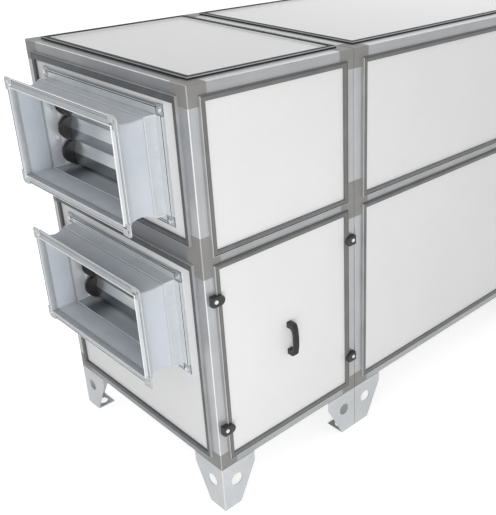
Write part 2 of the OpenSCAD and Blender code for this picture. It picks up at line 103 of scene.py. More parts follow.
def spread(tree, value, low, high, first=0.0, last=1.0, soft=False):
    """Value carried from one range to another, and held at its ends."""
    settings = {"interpolation_type": "SMOOTHSTEP" if soft else "LINEAR"}
    return add(tree, "MapRange", settings, i0=value, i1=low, i2=high, i3=first, i4=last).outputs[0]


def between(tree, mask, low, high):
    """Value between two, by a mask."""
    return spread(tree, mask, 0.0, 1.0, low, high)


def blend(tree, mask, low, high):
    """Colour between two, by a mask."""
    return add(tree, "Mix", {"data_type": "RGBA"}, i0=mask, i6=low, i7=high).outputs[2]


def weigh(tree, first, share, second):
    """Mean of two masks, the first counted by its share."""
    rest = calc(tree, "MULTIPLY", second, 1 - share)
    return calc(tree, "MULTIPLY_ADD", first, share, rest)


def axes_of(tree, vector):
    return add(tree, "SeparateXYZ", i0=vector).outputs


def lean_of(tree):
    """How far a surface faces up, from -1 to 1."""
    return axes_of(tree, add(tree, "TexCoord").outputs["Normal"])[2]


def relief(tree, height, depth, strength):
    """Normal of a surface with fine bumps."""
    return add(tree, "Bump", Strength=strength, Distance=depth, Height=height).outputs[0]


# Effects that finishes share

def effect(name, inputs, outputs):
    """Starts a node group and returns its tree, its given values and its results."""
    tree = bpy.data.node_groups.new(name, "ShaderNodeTree")
    for label, kind, value in (("Vector", "Vector", (0, 0, 0)), *inputs):
        socket = tree.interface.new_socket(label, in_out="INPUT", socket_type="NodeSocket" + kind)
        socket.default_value = value
    for label in outputs:
        tree.interface.new_socket(label, in_out="OUTPUT", socket_type="NodeSocketFloat")
    given = tree.nodes.new("NodeGroupInput").outputs
    return tree, given, tree.nodes.new("NodeGroupOutput")


def use(tree, group, **inputs):
    """Places an effect in a material and returns its outputs."""
    node = tree.nodes.new("ShaderNodeGroup")
    node.node_tree = group
    feed(tree, node, **inputs)
    return node.outputs


def make_mottle():
    """Broad soft patches, from 0 to 1."""
    tree, given, result = effect("mottle", (("Scale", "Float", 4),), ("Mask",))
    cloud = add(tree, "TexNoise", Vector=given["Vector"], Scale=given["Scale"], Detail=4)
    feed(tree, result, Mask=spread(tree, cloud.outputs[0], 0.3, 0.7))
    return tree


def make_grain():
    """Fine bumps of a coated or moulded surface."""
    tree, given, result = effect("grain", (("Scale", "Float", 400),), ("Height",))
    fine = add(tree, "TexNoise", Vector=given["Vector"], Scale=given["Scale"], Detail=2, Roughness=0.6)
    feed(tree, result, Height=fine.outputs[0])
    return tree


def make_drawn_lines():
    """Fine lines left by drawing or rolling, long where the stretch is small."""
    tree, given, result = effect("drawn_lines", (("Stretch", "Vector", (3, 500, 500)),), ("Line",))
    pulled = add(tree, "VectorMath", {"operation": "MULTIPLY"}, i0=given["Vector"], i1=given["Stretch"])
    line = add(tree, "TexNoise", Vector=pulled.outputs[0], Scale=1, Detail=3, Roughness=0.65)
    feed(tree, result, Line=spread(tree, line.outputs[0], 0.25, 0.75))
    return tree


def make_spangle():
    """Frost-like crystals of a zinc coat: a tone for each crystal, and its fine grain."""
    tree, given, result = effect("spangle", (("Scale", "Float", 90),), ("Tone", "Grain"))
    place = given["Vector"]
    warp = add(tree, "TexNoise", Vector=place, Scale=40, Detail=2).outputs[1]
    bent = add(tree, "VectorMath", {"operation": "MULTIPLY_ADD"}, i0=warp, i1=(0.02, 0.02, 0.02), i2=place)
    crystal = add(tree, "TexVoronoi", {"feature": "F1"}, Vector=bent.outputs[0], Scale=given["Scale"])
    shade = add(tree, "SeparateColor", i0=crystal.outputs["Color"])
    fine = add(tree, "TexNoise", Vector=place, Scale=600, Detail=3)
    feed(tree, result, Tone=shade.outputs[0], Grain=fine.outputs[0])
    return tree


def make_weave():
    """Threads that cross, along the duct and round it."""
    tree, given, result = effect("weave", (("Pitch", "Float", 0.0016),), ("Height", "Shade"))
    axes = axes_of(tree, given["Vector"])
    threads = []
    for along in (axes[0], calc(tree, "ADD", axes[1], axes[2])):
        turns = calc(tree, "DIVIDE", along, given["Pitch"])
        threads.append(calc(tree, "SINE", calc(tree, "MULTIPLY", turns, math.tau)))
    over = calc(tree, "MULTIPLY", *threads)
    slub = add(tree, "TexNoise", Vector=given["Vector"], Scale=55, Detail=5, Roughness=0.7)
    feed(tree, result, Height=spread(tree, over, -1, 1), Shade=slub.outputs[0])
    return tree


# Width of the painted highlight along the edges of the casing
HIGHLIGHT_W = 0.0012


def make_casing_highlight():
    """Painted highlight along edges of the casing: the uprights at its corners and the top of its ends, from
    0 to 1.
    """
    tree, given, result = effect("casing_highlight", (), ("Mask",))
    inset = [calc(tree, "SUBTRACT", reach, calc(tree, "ABSOLUTE", axis))
             for axis, reach in zip(axes_of(tree, given["Vector"]), (END, FRONT, TOP))]
    upright = calc(tree, "MAXIMUM", inset[0], inset[1])
    crown = calc(tree, "MAXIMUM", inset[0], inset[2])
    near = calc(tree, "MINIMUM", upright, crown)
    jitter = add(tree, "TexNoise", Vector=given["Vector"], Scale=30, Detail=3)
    uneven = calc(tree, "MULTIPLY_ADD", jitter.outputs[0], -HIGHLIGHT_W, near)
    feed(tree, result, Mask=spread(tree, uneven, HIGHLIGHT_W, 2 * HIGHLIGHT_W, 1.0, 0.0))
    return tree


# Depth of a duct's floor, and where along y its painted shade of the gears grows and where it thins out
FLOOR_BAND = 0.005
SHADE_GROWS = (0.10, 0.21)
SHADE_THINS = (0.225, 0.272)
SHADE_LEFT = 0.1


def make_gear_shade():
    """Floor of the ducts, and the painted shade on it that grows towards the gears and thins at the wall."""
    tree, given, result = effect("gear_shade", (("Lean", "Float", 0),), ("Floor", "Mask"))
    axes = axes_of(tree, given["Vector"])
    levels = [calc(tree, "COMPARE", axes[2], height - COLLAR[1], FLOOR_BAND) for height in DUCTS.values()]
    upward = spread(tree, given["Lean"], 0.4, 0.8)
    low = calc(tree, "MULTIPLY", calc(tree, "MAXIMUM", *levels), upward)
    grown = spread(tree, axes[1], *SHADE_GROWS, soft=True)
    thinned = spread(tree, axes[1], *SHADE_THINS, 1.0, SHADE_LEFT, soft=True)
    # Painted shade of the gears on the duct floors
    gear_shadow = calc(tree, "MULTIPLY", grown, thinned)
    feed(tree, result, Floor=low, Mask=calc(tree, "MULTIPLY", low, gear_shadow))
    return tree


MOTTLE = make_mottle()
GRAIN = make_grain()
DRAWN_LINES = make_drawn_lines()
SPANGLE = make_spangle()
WEAVE = make_weave()
CASING_HIGHLIGHT = make_casing_highlight()
GEAR_SHADE = make_gear_shade()


# Finishes

# Colours of the painted highlight along the edges of the casing
PROFILE_HIGHLIGHT = tone(236, 237, 238)
PLASTIC_HIGHLIGHT = tone(182, 181, 179)
ZINC_HIGHLIGHT = tone(226, 228, 229)
DARK_ZINC = tone(204, 209, 213)
LIGHT_ZINC = tone(220, 224, 227)


def start(name, **sockets):
    """New material: its tree, its shader and the piece's own coordinates."""
    material = bpy.data.materials.new(name)
    material.use_nodes = True
    tree = material.node_tree
    surface = tree.nodes["Principled BSDF"]
    feed(tree, surface, **sockets)
    return material, tree, surface, add(tree, "TexCoord").outputs["Object"]


def painted_sheet(name, dark, light):
    """White coil-coated sheet with a fine orange peel and broad, faint clouds."""
    material, tree, surface, place = start(name, Specular_IOR_Level=0.35)
    cloud = use(tree, MOTTLE, Vector=place, Scale=2.3)["Mask"]
    peel = use(tree, GRAIN, Vector=place, Scale=260)["Height"]
    feed(tree, surface, Base_Color=blend(tree, weigh(tree, peel, 0.7, cloud), dark, light),
         Roughness=between(tree, cloud, 0.42, 0.52), Normal=relief(tree, peel, 0.00012, 0.35))
    return material


def frame_profile():
    """Satin aluminium profile: die lines along each bar, a tone for each way the bars run as painted
    reflection, painted light on the tops and painted shade on the tops at the ends.
    """
    material, tree, surface, place = start("frame_profile")
    axes = axes_of(tree, place)
    foot, middle, top = (calc(tree, "COMPARE", axes[2], *band) for band in RAIL_BANDS)
    rails = calc(tree, "MAXIMUM", calc(tree, "MAXIMUM", foot, middle), top)
    across = calc(tree, "COMPARE", axes[1], 0.0, FRONT - POST_D)
    fine, drawn = 420, 4
    lines = [use(tree, DRAWN_LINES, Vector=place, Stretch=stretch)["Line"]
             for stretch in ((drawn, fine, fine), (fine, drawn, fine), (fine, fine, drawn))]
    line = between(tree, rails, lines[2], between(tree, across, lines[0], lines[1]))
    mixed = weigh(tree, line, 0.6, use(tree, MOTTLE, Vector=place, Scale=7)["Mask"])
    # Painted reflection: uprights, bars along the unit and bars across its ends each take their own tone
    upright = blend(tree, mixed, tone(164, 166, 168), tone(190, 192, 194))
    lengthwise = blend(tree, mixed, tone(152, 154, 156), tone(179, 181, 183))
    crosswise = blend(tree, mixed, tone(124, 126, 129), tone(150, 152, 155))
    satin = blend(tree, rails, upright, blend(tree, across, lengthwise, crosswise))
    # Painted light on faces that look up, and painted shade on those at the ends of the unit
    upward = spread(tree, lean_of(tree), 0.5, 0.9)
    at_end = calc(tree, "COMPARE", calc(tree, "ABSOLUTE", axes[0]), END, POST_W)
    painted_shade = calc(tree, "MULTIPLY", upward, at_end)
    crown = calc(tree, "SUBTRACT", upward, painted_shade)
    satin = blend(tree, crown, satin, tone(196, 198, 200))
    satin = blend(tree, painted_shade, satin, tone(112, 114, 116))
    # Painted highlight along the edges of the casing: pale and not metallic
    highlight_mask = use(tree, CASING_HIGHLIGHT, Vector=place)["Mask"]
    feed(tree, surface, Metallic=between(tree, highlight_mask, 0.5, 0.0),
         Base_Color=blend(tree, highlight_mask, satin, PROFILE_HIGHLIGHT),
         Roughness=between(tree, line, 0.3, 0.42), Normal=relief(tree, line, 0.00006, 0.4))
    return material


def moulded(name, dark, light, rough, scale=900, depth=0.00012):
    """Moulded plastic with a fine spark-eroded grain, and a painted highlight on the edges of the casing."""
    material, tree, surface, place = start(name, Specular_IOR_Level=0.4)
    cloud = use(tree, MOTTLE, Vector=place, Scale=14)["Mask"]
    grain = use(tree, GRAIN, Vector=place, Scale=scale)["Height"]
    # Painted highlight along the edges of the casing
    highlight_mask = use(tree, CASING_HIGHLIGHT, Vector=place)["Mask"]
    feed(tree, surface, Base_Color=blend(tree, highlight_mask, blend(tree, cloud, dark, light), PLASTIC_HIGHLIGHT),
         Roughness=between(tree, grain, rough - 0.07, rough + 0.07), Normal=relief(tree, grain, depth, 0.5))
    return material


def zinc_sheet(name, dark, light, metallic=0.35, scale=85, rough=0.38):
    """Galvanised sheet with a faint, fine spangle."""
    material, tree, surface, place = start(name, Metallic=metallic)
    crystal = use(tree, SPANGLE, Vector=place, Scale=scale)
    cloud = use(tree, MOTTLE, Vector=place, Scale=6)["Mask"]
    zinc = blend(tree, weigh(tree, crystal["Tone"], 0.35, cloud), dark, light)
    # Painted highlight along the edges of the casing
    highlight_mask = use(tree, CASING_HIGHLIGHT, Vector=place)["Mask"]
    feed(tree, surface, Base_Color=blend(tree, highlight_mask, zinc, ZINC_HIGHLIGHT),
         Roughness=between(tree, crystal["Tone"], rough, rough + 0.12),
         Normal=relief(tree, crystal["Grain"], 0.00004, 0.3))
    return material


def damper_sheet():
    """Sheet of the damper frames: walls painted light, a floor in painted shade, darker still towards the
    gears.
    """
    material, tree, surface, place = start("damper_zinc")
    line = use(tree, DRAWN_LINES, Vector=place, Stretch=(300, 4, 300))["Line"]
    cloud = use(tree, MOTTLE, Vector=place, Scale=6)["Mask"]
    floor_and_gear_shade = use(tree, GEAR_SHADE, Vector=place, Lean=lean_of(tree))
    # Painted light on the walls, painted shade on the floor and more towards the gears
    wall = blend(tree, cloud, tone(230, 233, 236), tone(242, 244, 246))
    shaded_floor = blend(tree, line, tone(186, 190, 194), tone(200, 204, 208))
    shaded_floor = blend(tree, floor_and_gear_shade["Mask"], shaded_floor, tone(92, 95, 98))
    feed(tree, surface, Base_Color=blend(tree, floor_and_gear_shade["Floor"], wall, shaded_floor),
         Metallic=between(tree, floor_and_gear_shade["Floor"], 0.05, 0.1),
         Roughness=between(tree, floor_and_gear_shade["Floor"], 0.45, 0.5))
    return material


def collar_sheet():
    """Galvanised sheet of the collars, its floor in painted shade and darker still towards the gears."""
    material = zinc_sheet("collar_zinc", DARK_ZINC, LIGHT_ZINC)
    tree = material.node_tree
    surface = tree.nodes["Principled BSDF"]
    place = add(tree, "TexCoord").outputs["Object"]
    floor_and_gear_shade = use(tree, GEAR_SHADE, Vector=place, Lean=lean_of(tree))
    zinc = surface.inputs["Base Color"].links[0].from_socket
    # Painted shade on the collar's floor, and more towards the gears
    shaded_collar_floor = blend(tree, floor_and_gear_shade["Floor"], zinc, tone(190, 195, 200))
    feed(tree, surface, Base_Color=blend(tree, floor_and_gear_shade["Mask"], shaded_collar_floor, tone(112, 116, 120)))
    return material


def duct_canvas():
    """Coated canvas: a close weave under a thin, dull coat."""
    material, tree, surface, place = start(
        "duct_canvas", Specular_IOR_Level=0.3, Sheen_Weight=0.15, Sheen_Roughness=0.5)
    thread = use(tree, WEAVE, Vector=place, Pitch=0.0018)
    cloud = use(tree, MOTTLE, Vector=place, Scale=11)["Mask"]
    mixed = weigh(tree, thread["Shade"], 0.4, cloud)
    feed(tree, surface, Base_Color=blend(tree, mixed, tone(198, 204, 211), tone(211, 216, 223)),
         Roughness=between(tree, thread["Height"], 0.55, 0.7),
         Normal=relief(tree, thread["Height"], 0.0002, 0.5))
    return material


def blade_metal():
    """Extruded damper blade, drawn along its length, with painted light on its upward slope and painted shade
    under its ridge.
    """
    material, tree, surface, place = start("blade_metal", Metallic=0.88)
    line = use(tree, DRAWN_LINES, Vector=place, Stretch=(500, 4, 500))["Line"]
    upward = spread(tree, lean_of(tree), 0.0, 0.16)
    # Painted light on the upward slope, painted shade under the ridge
    painted_light = blend(tree, line, tone(210, 214, 216), tone(220, 223, 225))
    painted_shade = blend(tree, line, tone(152, 156, 159), tone(164, 168, 171))
    feed(tree, surface, Base_Color=blend(tree, upward, painted_shade, painted_light),
         Roughness=between(tree, line, 0.28, 0.32), Normal=relief(tree, line, 0.00002, 0.1))
    return material


PANEL = painted_sheet("panel_paint", tone(230, 230, 230), tone(243, 243, 243))
PROFILE = frame_profile()
BLOCK = moulded("block_plastic", tone(135, 134, 132), tone(146, 145, 143), 0.55)
TRIM = moulded("trim_band", tone(109, 109, 108), tone(121, 121, 119), 0.5)
# Band of the trims at the ends: the trim band in painted shade
SHADED_END_TRIM = moulded("shaded_end_trim_band", tone(84, 85, 87), tone(97, 98, 100), 0.5)
LIP = moulded("trim_lip", tone(188, 189, 189), tone(202, 203, 203), 0.45)
TRIM_WALL = moulded("trim_wall", tone(152, 153, 154), tone(166, 167, 168), 0.45)
# Dark groove of the trims; also painted shade on the top trims, the handles' outer faces and the clamp
# recesses
GROOVE_AND_SHADE = moulded("trim_groove_and_shade", tone(32, 32, 32), tone(42, 42, 42), 0.7)
BLACK = moulded("black_plastic", tone(46, 46, 47), tone(57, 57, 58), 0.48, scale=700)
GEAR = moulded("gear_plastic", tone(34, 34, 35), tone(44, 44, 46), 0.42, scale=700)
SEAL = moulded("seal_foam", tone(38, 38, 39), tone(52, 52, 53), 0.85, scale=500, depth=0.0004)
ZINC = zinc_sheet("zinc_sheet", DARK_ZINC, LIGHT_ZINC)
FLANGE_ZINC = zinc_sheet("flange_zinc", tone(168, 172, 176), tone(184, 188, 191))
# Painted highlight for the edges and folds of the flanges and collars
FLANGE_HIGHLIGHT = zinc_sheet("flange_highlight", tone(232, 235, 237), tone(242, 244, 245))
# Painted shade for the gaps and slits of the flanges and the sides of their corner plates
FLANGE_GAP_SHADE = zinc_sheet("flange_gap_shade", tone(92, 94, 96), tone(112, 114, 116))
PLATE_ZINC = zinc_sheet("plate_zinc", tone(180, 181, 182), tone(194, 195, 196))
RAIL_SHADE = zinc_sheet("rail_shade", tone(120, 125, 130), tone(134, 139, 144))
FOOT_ZINC = zinc_sheet("foot_zinc", tone(192, 195, 197), tone(206, 208, 210))
BOLT = zinc_sheet("bolt_zinc", tone(204, 208, 211), tone(228, 231, 233),
                  metallic=0.85, scale=400, rough=0.22)
SCREW = zinc_sheet("screw_zinc", tone(224, 226, 227), tone(240, 241, 242), metallic=0.2, scale=400)
DAMPER_ZINC = damper_sheet()
COLLAR_ZINC = collar_sheet()
CANVAS = duct_canvas()
BLADE = blade_metal()

# Finishes of the trims and of the flanges, and the numbers that their faces go by
TRIM_SET = (LIP, TRIM, GROOVE_AND_SHADE, SHADED_END_TRIM, TRIM_WALL, PANEL)
ON_LIP, ON_BAND, IN_GROOVE_AND_SHADE, ON_SHADED_END_BAND, ON_WALL, ON_FOOT = range(len(TRIM_SET))
FLANGE_SET = (FLANGE_ZINC, FLANGE_HIGHLIGHT, FLANGE_GAP_SHADE, PLATE_ZINC, ZINC, RAIL_SHADE)
FLAT, EDGE_HIGHLIGHT, GAP_SHADE, PLATE, UPRIGHT, SHADED = range(len(FLANGE_SET))

NODE_FINISH = {
    PROFILE: ("left_frame", "middle_frame", "right_frame"),
    BLOCK: ("corner_blocks",),
    SEAL: ("module_seals",),
    FOOT_ZINC: ("feet",),
    PANEL: ("left_upper_front_panel", "left_service_panel", "middle_front_panels", "right_front_panels",
            "back_panels", "top_panels", "floor_panels", "tier_floors", "left_end_panels",
            "right_end_panels"),
    COLLAR_ZINC: ("left_upper_collar", "left_lower_collar", "right_collars"),
    DAMPER_ZINC: ("upper_damper_frame", "lower_damper_frame", "right_damper_frames"),
    BLADE: [f"{level}_blade_{row}" for level in DUCTS for row in BLADE_ROWS] + ["right_blades"],
    GEAR: [f"{level}_gear_{row}" for level in DUCTS for row in BLADE_ROWS] + ["right_gears"],
}
for finish, names in NODE_FINISH.items():
    for name in names:
        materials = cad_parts[name].data.materials
        materials.clear()
        materials.append(finish)


# Mesh building blocks

ROUND_SIDES = 32
# Least upward lean of a level face
LEVEL = 0.9
# Least angle of a sharp edge, in radians
SHARP = 1


def facing(origin, right, up):
    """Place on a surface for a piece that is drawn flat, with its face along +z."""
    turn = Matrix((right, up, right.cross(up))).transposed().to_4x4()
    return Matrix.Translation(origin) @ turn


def lifted(place, height):
    """The same place, raised from its surface."""
    return place @ Matrix.Translation((0, 0, height))


def stamp(bm, shape, places):
    """Copies a finished shape into a piece at each place."""
    mesh = bpy.data.meshes.new("shape")
    shape.to_mesh(mesh)
    shape.free()
    for place in places:
        copy = mesh.copy()
        copy.transform(place)
        if place.determinant() < 0:
            copy.flip_normals()
        bm.from_mesh(copy)
        bpy.data.meshes.remove(copy)
    bpy.data.meshes.remove(mesh)


def link(name, data):
    """Puts an object into the scene."""
    obj = bpy.data.objects.new(name, data)
    bpy.context.scene.collection.objects.link(obj)
    return obj


def piece(bm, name, finishes, stands_for=(), sharp=32, body="casing"):
    """Turns a finished mesh into a piece that rides on a body."""
    mesh = bpy.data.meshes.new(name)
    bm.to_mesh(mesh)
    bm.free()
    for finish in finishes:
        mesh.materials.append(finish)
    mesh.shade_smooth()
    mesh.set_sharp_from_angle(angle=math.radians(sharp))
    obj = link(name, mesh)
    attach(obj, body)
    if stands_for:
        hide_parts(*stands_for)
    return obj


def verts_of(geometry):
    return [g for g in geometry if isinstance(g, bmesh.types.BMVert)]


def raise_up(bm, shift):
    """Raises the flat faces of a shape into closed blocks and returns the raised verts."""
    verts = verts_of(bmesh.ops.extrude_face_region(bm, geom=bm.faces[:])["geom"])
    bmesh.ops.translate(bm, vec=shift, verts=verts)
    bmesh.ops.recalc_face_normals(bm, faces=bm.faces)
    return verts


def edges_among(bm, verts):
    return [e for e in bm.edges if all(v in verts for v in e.verts)]


def soften(bm, edges, offset, segments=2):
    """Rounds edges off."""
    bmesh.ops.bevel(bm, geom=edges, offset=offset, segments=segments, profile=0.5, affect="EDGES",
                    material=-1)


def round_off(bm, corners, offset, segments):
    """Rounds the corners of a flat outline off."""
    bmesh.ops.bevel(bm, geom=corners, offset=offset, segments=segments, profile=0.5, affect="VERTICES",
                    material=-1)


def pierce(bm, radius, place, sides=ROUND_SIDES):
    """Cuts a round hole into a flat outline."""
    bmesh.ops.delete(bm, geom=bm.faces[:], context="FACES_ONLY")
    bmesh.ops.create_circle(bm, segments=sides, radius=radius, matrix=Matrix.Translation(place))
    bmesh.ops.triangle_fill(bm, use_beauty=True, use_dissolve=False, edges=bm.edges[:])
    bmesh.ops.dissolve_limit(bm, angle_limit=0.01, verts=bm.verts, edges=bm.edges)


def prism(outline, low, high, hole=0.0):
    """Upright block over a flat outline, with a round hole through it at 0, 0 if asked for."""
    bm = bmesh.new()
    bm.faces.new([bm.verts.new((x, y, low)) for x, y in outline])
    if hole:
        pierce(bm, hole, (0, 0, low))
    raise_up(bm, Z * (high - low))
    return bm


def disc(radius, height, low=0.0, sides=ROUND_SIDES):
    """Upright block over a circle or a hexagon, and the edges of its upper rim."""
    bm = bmesh.new()
    bmesh.ops.create_circle(bm, cap_ends=True, segments=sides, radius=radius,
                            matrix=Matrix.Translation((0, 0, low)))
    top = raise_up(bm, Z * height)
    return bm, edges_among(bm, top)


def oblong(half_w, half_h):
    """Corners of an oblong round 0, 0."""
    return (-half_w, -half_h), (half_w, -half_h), (half_w, half_h), (-half_w, half_h)


def ridged_frame(half_w, half_h, steps, start_z=0.0):
    """Mitred frame: its section goes inwards from the rim in steps of (width, rise, finish)."""
    bm = bmesh.new()
    face = bm.faces.new([bm.verts.new((x, y, start_z)) for x, y in oblong(half_w, half_h)])
    face.normal_update()
    for width, rise, finish in steps:
        ring = bmesh.ops.inset_region(bm, faces=[face], thickness=width, depth=rise, use_boundary=True,
                                      use_even_offset=True)
        for side in ring["faces"]:
            side.material_index = finish
    inner = list(face.edges)
    bmesh.ops.delete(bm, geom=[face], context="FACES_ONLY")
    return bm, inner


# Panel trims

# Section of a trim from its outer edge: wall, light lip, groove, broad band, wall down to the panel
TRIM_STEPS = (
    (0.0003, 0.0064, ON_WALL), (0.0003, 0.0016, ON_LIP), (0.0016, 0.0006, ON_LIP),
    (0.0006, -0.0016, IN_GROOVE_AND_SHADE), (0.0008, 0.0, IN_GROOVE_AND_SHADE),
    (0.0006, 0.0014, ON_BAND), (0.0110, 0.0004, ON_BAND), (0.0012, -0.0008, ON_BAND),
    (0.0006, -0.0080, ON_BAND),
)
# The top panels' trims are in painted shade, in the dark groove finish, but for the head of their wall and
# the white foot inside
TOP_TRIM_STEPS = (
    (0.0003, 0.0054, IN_GROOVE_AND_SHADE), (0.0003, 0.0026, ON_LIP),
    *((width, rise, IN_GROOVE_AND_SHADE) for width, rise, _ in TRIM_STEPS[2:-1]),
    (0.0002, -0.0022, IN_GROOVE_AND_SHADE), (0.0004, -0.0058, ON_FOOT),
)
# Those of the ends have their band in painted shade and their lip in the darker wall finish, also painted
# shade, and their band is wider along the top
END_TRIM_FACES = {ON_LIP: ON_WALL, ON_BAND: ON_SHADED_END_BAND}
END_TRIM_STEPS = [(width, rise, END_TRIM_FACES.get(face, face)) for width, rise, face in TRIM_STEPS]
END_HEAD = 0.007
BAND_END = 0.015
LIP_W = 0.002


def closed_trim(half_w, half_h, steps=TRIM_STEPS, shaded_head=False, head=0.0):
    """Trim of one panel, with the band along its top wider by the head."""
    bm, inner = ridged_frame(half_w, half_h, steps)
    for v in bm.verts:
        if 0 < v.co.y < half_h - BAND_END:
            v.co.y -= head
    outer = [e for e in bm.edges if e.is_boundary and e not in inner]
    for side in bmesh.ops.bridge_loops(bm, edges=outer + inner)["faces"]:
        side.material_index = IN_GROOVE_AND_SHADE
    bmesh.ops.recalc_face_normals(bm, faces=bm.faces)
    # Painted shade: the lip and wall along the top of the trim take the band's darker finish
    if shaded_head:
        for side in bm.faces:
            at_head = side.calc_center_median().y > half_h - LIP_W
            if side.material_index in (ON_LIP, ON_WALL) and at_head:
                side.material_index = ON_BAND
    return bm


def panel_trims():
    bm = bmesh.new()
    for low_x, high_x in MODULES:
        mid_x = (low_x + high_x) / 2
        half_w = (high_x - low_x) / 2 - POST_W
        for low_z, high_z in TIERS:
            mid_z = (low_z + high_z) / 2
            places = [facing((mid_x, side * FRONT, mid_z), -side * X, Z) for side in (-1, 1)]
            stamp(bm, closed_trim(half_w, (high_z - low_z) / 2, shaded_head=True), places)
        stamp(bm, closed_trim(half_w, FRONT - POST_D, TOP_TRIM_STEPS), [facing((mid_x, 0, TOP), X, Y)])
    for low_z, high_z in END_TIERS:
        mid_z = (low_z + high_z) / 2
        places = [facing((side * END, 0, mid_z), side * Y, Z) for side in (-1, 1)]
        stamp(bm, closed_trim(FRONT - POST_D, (high_z - low_z) / 2, END_TRIM_STEPS, head=END_HEAD), places)
    piece(bm, "panel_trim_set", TRIM_SET, ("panel_trims",))


panel_trims()


# Service panel fittings

# Handle: width, how far its middle lies under the panel's, rounding of its shoulders and of its edges
HANDLE_W = 0.022
HANDLE_DROP = 0.018
HANDLE_ROUND = 0.0115
HANDLE_SOFT = 0.0024
# Its outer and its inner line: half length, reach in the middle, rise of the bow, way round
HANDLE_BOWS = ((0.063, 0.0395, 0.008, 1), (0.042, 0.028, 0.004, -1))
BOW_PARTS = (1, 0.68, 0.5, 0.25, 0, -0.25, -0.5, -0.68, -1)
# Least outward lean of the handle's faces in painted shade, which take the dark groove finish
SHADED_LEAN = 0.6


def service_panels():
    """Middle of each service panel across, half width of its opening, its foot and its head."""
    for low_x, high_x in (MODULES[0], MODULES[2]):
        yield (low_x + high_x) / 2, (high_x - low_x) / 2 - POST_W, *TIERS[0]


def handle_shape():
    """Bridge handle cut from the side: two legs, rounded shoulders and a bowed grip."""
    bm = bmesh.new()
    outline, bends = [], []
    for half, reach, rise, way in HANDLE_BOWS:
        radius = (half * half + rise * rise) / (2 * rise)
        outline.append(bm.verts.new((-HANDLE_W / 2, way * half, 0)))
        for part in BOW_PARTS:
            y = half * part
            z = reach - radius + math.sqrt(radius * radius - y * y)
            outline.append(bm.verts.new((-HANDLE_W / 2, way * y, z)))
            if abs(part) == 1:
                bends.append(outline[-1])
        outline.append(bm.verts.new((-HANDLE_W / 2, -way * half, 0)))
    bm.faces.new(outline)
    round_off(bm, bends, HANDLE_ROUND, 6)
    raise_up(bm, X * HANDLE_W)
    cheeks = [e for e in bm.edges if abs(e.verts[0].co.x - e.verts[1].co.x) < HANDLE_W / 2]
    soften(bm, cheeks, HANDLE_SOFT, 3)
    # Painted shade on the faces that look outwards
    for side in bm.faces:
        side.material_index = int(side.normal.z > SHADED_LEAN)
    return bm


def service_handles():
    bm = bmesh.new()
    places = [facing((x, -FRONT, (low_z + high_z) / 2 - HANDLE_DROP), X, Z)
              for x, _, low_z, high_z in service_panels()]
    stamp(bm, handle_shape(), places)
    piece(bm, "bridge_handles", (BLACK, GROOVE_AND_SHADE), ("service_handles",), sharp=40)


# Clamp: its round end, and along it the tail, the end of the foot on the post and the start of that on
# the trim
CLAMP_R = 0.017
CLAMP_MID = 0.015
CLAMP_ARCS = 28
CLAMP_TAIL = -0.013
POST_FOOT = 0.0075
TRIM_FOOT = 0.0145
# Heights of the clamp: both faces of its plate, the top of its feet, the trim under it
CLAMP_PLATE = (0.0125, 0.0208)
FEET_TOP = 0.0127
TRIM_TOP = 0.0090
CLAMP_HOLE_R = 0.0092
CLAMP_SOFT = 0.0016
# Places of the clamps: above the foot of the panel, below its head, out from its opening
CLAMP_RISE = 0.129
CLAMP_DROP = 0.113
CLAMP_OUT = 0.011
# Screw: its head and its socket, and the level that it stands on
SCREW_R = 0.0070
SCREW_H = 0.0040
SOCKET_R = 0.0026
SOCKET_TAPER = 0.0002
SCREW_SEAT = 0.0168
# Rounding of the head and depth of the socket as parts of the height, flat top as a part of the radius
HEAD_ROUND = 0.35
SOCKET_DEPTH = 0.3
HEAD_FLAT = 0.65
# Floor of the screw's recess, darker than the clamp as painted shade
RECESS_R = 0.0094
RECESS_THICK = 0.004
RECESS_MID = 0.0151


def clamp_end(start_x):
    """Outline of a clamp from a straight side to its round end."""
    angles = (math.pi * i / CLAMP_ARCS for i in range(CLAMP_ARCS + 1))
    arc = [(CLAMP_MID + CLAMP_R * math.sin(a), -CLAMP_R * math.cos(a)) for a in angles]
    side = CLAMP_R if start_x < CLAMP_MID else math.sqrt(CLAMP_R ** 2 - (start_x - CLAMP_MID) ** 2)
    return [(start_x, -side)] + [(x, y) for x, y in arc if x > start_x] + [(start_x, side)]


def clamp_shape():
    """Turn clamp: a plate with one round end on two feet, one on the post and one on the trim."""
    bm = prism(clamp_end(CLAMP_TAIL), *CLAMP_PLATE, hole=CLAMP_HOLE_R)
    halfway = sum(CLAMP_PLATE) / 2
    rim = [e for e in bm.edges
           if e.calc_face_angle(0) > SHARP and max(v.co.z for v in e.verts) > halfway]
    soften(bm, rim, CLAMP_SOFT, 3)
    foot = ((CLAMP_TAIL, -CLAMP_R), (POST_FOOT, -CLAMP_R), (POST_FOOT, CLAMP_R), (CLAMP_TAIL, CLAMP_R))
    stamp(bm, prism(foot, 0.0, FEET_TOP), [Matrix()])
    stamp(bm, prism(clamp_end(TRIM_FOOT), TRIM_TOP, FEET_TOP), [Matrix()])
    return bm


def screw_shape():
    """Round-headed screw with a hexagon socket."""
    bm, rim = disc(SCREW_R, SCREW_H)
    soften(bm, rim, SCREW_H * HEAD_ROUND, 3)
    face = max(bm.faces, key=lambda f: f.calc_center_median().z)
    bmesh.ops.inset_region(bm, faces=[face], thickness=SCREW_R * HEAD_FLAT - SOCKET_R, depth=0)
    bmesh.ops.inset_region(bm, faces=[face], thickness=SOCKET_TAPER, depth=-SCREW_H * SOCKET_DEPTH)
    return bm


